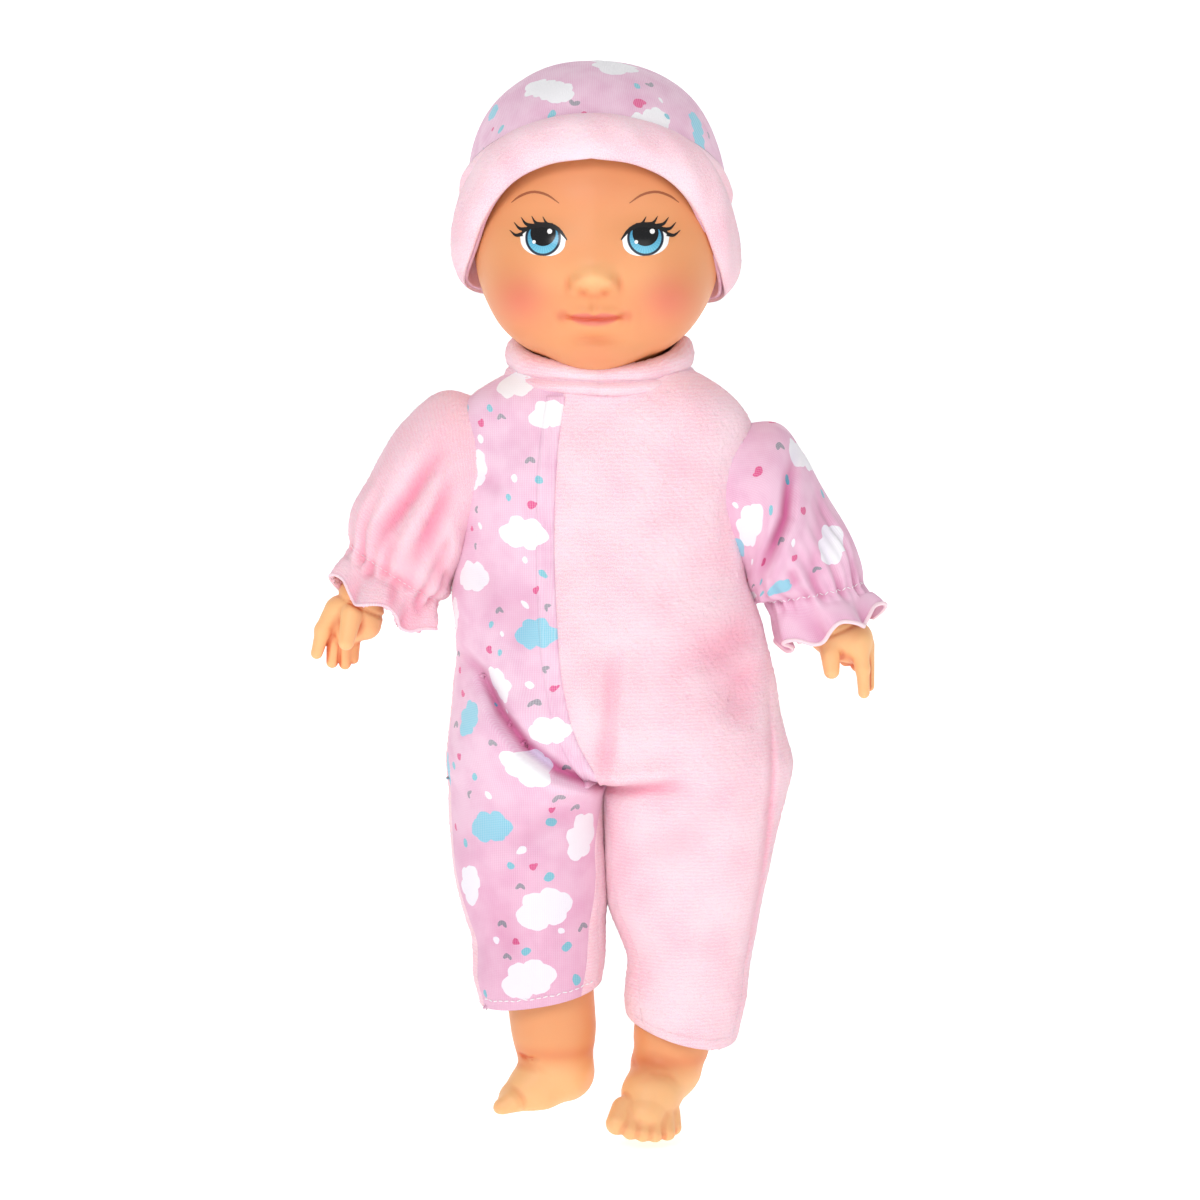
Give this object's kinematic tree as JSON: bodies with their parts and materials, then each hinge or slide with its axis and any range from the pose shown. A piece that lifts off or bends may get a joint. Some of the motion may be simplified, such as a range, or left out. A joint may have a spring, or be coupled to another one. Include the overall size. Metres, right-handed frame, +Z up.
{
  "type": "interactive baby doll",
  "caption": "Soft-bodied baby doll with vinyl head and limbs, a two-fabric romper and plush-cuffed hat, and a press-to-talk sound module in its belly.",
  "frame": {"origin": "the middle of the waist, where a doll stand's clip or a hand holds the doll", "axes": "+Z up from feet to head, the face looks along -Y, +X towards the doll's left hand"},
  "size_m": [0.2024, 0.1085, 0.3869],
  "materials": {
    "vinyl_skin": "soft matte skin-tone vinyl",
    "plush_pink": "fine pale pink velour pile",
    "jersey_print": "fine jersey knit, pale pink with clouds and dots",
    "body_cloth": "plain woven body cloth",
    "fibre_fill": "loose polyester fibre",
    "tie_cord": "twisted cord",
    "elastic": "thin covered elastic",
    "fastener_tape": "hook and loop tape",
    "case_plastic": "fine spark-eroded texture",
    "button_plastic": "glossy moulding",
    "steel": "plated",
    "cell_jacket": "printed jacket, plain",
    "board": "solder mask",
    "black_resin": "cast resin",
    "speaker_paper": "pressed paper",
    "ferrite": "sintered",
    "wire_pvc": "soft insulation"
  },
  "bodies": {
    "torso": {"torso_stuffing": "fibre_fill", "body_bag": "body_cloth", "neck_tie": "tie_cord", "collar_band": "plush_pink", "romper_front_print": "jersey_print", "placket_strip": "jersey_print", "romper_front_plain": "plush_pink", "romper_back_right": "plush_pink", "romper_back_left": "plush_pink", "back_fastener_loop": "fastener_tape", "back_fastener_hook": "fastener_tape", "case_front": "case_plastic", "case_back": "case_plastic", "case_screws": "steel", "battery_door": "case_plastic", "door_screw": "steel", "battery_cells": "cell_jacket", "contact_plates": "steel", "contact_springs": "steel", "circuit_board": "board", "sound_chip": "black_resin", "press_switch": "black_resin", "speaker_frame": "steel", "speaker_cone": "speaker_paper", "speaker_magnet": "ferrite", "speaker_wires": "wire_pvc", "button_spring": "steel"},
    "head": {"head_shell": "vinyl_skin"},
    "hat": {"hat_crown": "jersey_print", "hat_cuff": "plush_pink"},
    "upper_arm_right": {"upper_arm_right": "body_cloth", "arm_tie_right": "tie_cord", "sleeve_right": "plush_pink", "sleeve_elastic_right": "elastic"},
    "arm_right": {"arm_right": "vinyl_skin"},
    "thigh_right": {"thigh_right": "body_cloth", "leg_tie_right": "tie_cord", "trouser_front_right": "jersey_print", "trouser_back_right": "plush_pink"},
    "leg_right": {"leg_right": "vinyl_skin"},
    "upper_arm_left": {"upper_arm_left": "body_cloth", "arm_tie_left": "tie_cord", "sleeve_left": "jersey_print", "sleeve_elastic_left": "elastic"},
    "arm_left": {"arm_left": "vinyl_skin"},
    "thigh_left": {"thigh_left": "body_cloth", "leg_tie_left": "tie_cord", "trouser_front_left": "plush_pink", "trouser_back_left": "plush_pink"},
    "leg_left": {"leg_left": "vinyl_skin"},
    "voice_button": {"voice_button": "button_plastic"},
    "power_switch": {"power_switch": "black_resin"}
  },
  "joints": [
    {"name": "head_turn", "type": "hinge", "parent": "torso", "child": "head", "pos_m": [0, 0, 0.0895], "axis": [0, 0, 1], "range_deg": [-80, 80]},
    {"name": "hat_lift", "type": "slide", "parent": "head", "child": "hat", "axis": [0, 0, 1], "range_m": [0, 0.11]},
    {"name": "shoulder_right_swing", "type": "hinge", "parent": "torso", "child": "upper_arm_right", "pos_m": [-0.055, 0, 0.072], "axis": [-1, 0, 0], "range_deg": [-40, 120]},
    {"name": "arm_right_turn", "type": "hinge", "parent": "upper_arm_right", "child": "arm_right", "pos_m": [-0.055, 0, 0.072], "axis": [-0.454, 0, -0.891], "range_deg": [-90, 90]},
    {"name": "shoulder_left_swing", "type": "hinge", "parent": "torso", "child": "upper_arm_left", "pos_m": [0.057, 0, 0.064], "axis": [-1, 0, 0], "range_deg": [-40, 120]},
    {"name": "arm_left_turn", "type": "hinge", "parent": "upper_arm_left", "child": "arm_left", "pos_m": [0.057, 0, 0.064], "axis": [0.3665, 0, -0.9304], "range_deg": [-90, 90]},
    {"name": "hip_right_swing", "type": "hinge", "parent": "torso", "child": "thigh_right", "pos_m": [-0.0245, 0, -0.05], "axis": [-1, 0, 0], "range_deg": [-25, 80]},
    {"name": "leg_right_turn", "type": "hinge", "parent": "thigh_right", "child": "leg_right", "pos_m": [-0.0245, 0, -0.05], "axis": [0.0976, 0, -0.9952], "range_deg": [-60, 10]},
    {"name": "hip_left_swing", "type": "hinge", "parent": "torso", "child": "thigh_left", "pos_m": [0.0345, 0, -0.05], "axis": [-1, 0, 0], "range_deg": [-25, 80]},
    {"name": "leg_left_turn", "type": "hinge", "parent": "thigh_left", "child": "leg_left", "pos_m": [0.0345, 0, -0.05], "axis": [-0.0872, 0, -0.9962], "range_deg": [-8, 60]},
    {"name": "voice_button_press", "type": "slide", "parent": "torso", "child": "voice_button", "axis": [0, 1, 0], "range_m": [0, 0.0025], "stiffness_N_per_m": 300, "springref_m": -0.002, "deforming": ["button_spring"]},
    {"name": "power_switch_slide", "type": "slide", "parent": "torso", "child": "power_switch", "axis": [0, 0, 1], "range_m": [0, 0.003]}
  ]
}
